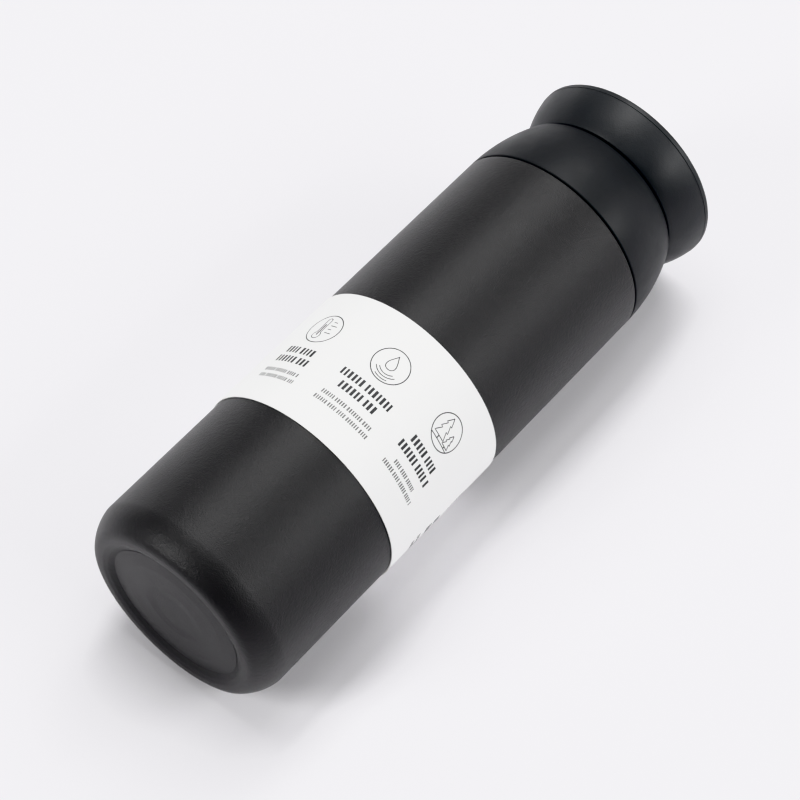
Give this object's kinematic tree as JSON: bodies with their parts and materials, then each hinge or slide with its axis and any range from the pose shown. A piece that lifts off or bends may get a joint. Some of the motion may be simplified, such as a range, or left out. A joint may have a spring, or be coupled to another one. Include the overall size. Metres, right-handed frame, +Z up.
{
  "type": "vacuum insulated travel flask",
  "caption": "Straight double-walled steel vacuum flask with a domed drinking collar, a flared screw cap and a paper band round its body.",
  "frame": {"origin": "centre of the foot ring, in the plane that the flask stands on", "axes": "+Z up along the flask's axis, from the foot to the cap; +X and +Y across, with the print of the paper band facing -Y and +X"},
  "size_m": [0.0762, 0.0762, 0.2316],
  "materials": {
    "powder_coat": "matte",
    "bare_steel": "satin",
    "solder": "satin",
    "getter_metal": "matte",
    "copper": "satin",
    "black_plastic": "satin",
    "silicone": "matte",
    "foam": "matte",
    "white_paper": "matte",
    "glue": "satin"
  },
  "bodies": {
    "vessel": {"outer_shell": "powder_coat", "outer_bottom": "powder_coat", "base_cover": "powder_coat", "seal_bead": "solder", "getter_clip": "bare_steel", "getter_pill": "getter_metal", "inner_vessel": "bare_steel", "copper_foil": "copper", "foil_base_disc": "copper"},
    "collar_seal": {"collar_gasket": "silicone"},
    "collar": {"collar_shell": "black_plastic", "collar_core": "black_plastic", "flow_guard": "black_plastic"},
    "cap_seal": {"cap_gasket": "silicone"},
    "cap": {"cap_shell": "black_plastic", "cap_top_plate": "black_plastic", "cap_plug": "black_plastic", "cap_insulation": "foam"},
    "sleeve": {"paper_sleeve": "white_paper", "sleeve_glue_strip": "glue"}
  },
  "joints": [
    {"name": "collar_lift", "type": "slide", "parent": "vessel", "child": "collar_seal", "axis": [0, 0, 1], "range_m": [0, 0.0181]},
    {"name": "collar_turn", "type": "hinge", "parent": "collar_seal", "child": "collar", "pos_m": [0, 0, 0.1883], "axis": [0, 0, 1], "range_deg": [0, 810]},
    {"name": "cap_lift", "type": "slide", "parent": "collar", "child": "cap_seal", "axis": [0, 0, 1], "range_m": [0, 0.0181]},
    {"name": "cap_turn", "type": "hinge", "parent": "cap_seal", "child": "cap", "pos_m": [0, 0, 0.2152], "axis": [0, 0, 1], "range_deg": [0, 810]},
    {"name": "sleeve_slide", "type": "slide", "parent": "vessel", "child": "sleeve", "axis": [0, 0, 1], "range_m": [-0.06, 0.172]}
  ],
  "couplings": [
    {"joint": "collar_lift", "follows": "collar_turn", "m_per_rad": 0.0012732},
    {"joint": "cap_lift", "follows": "cap_turn", "m_per_rad": 0.0012732}
  ]
}
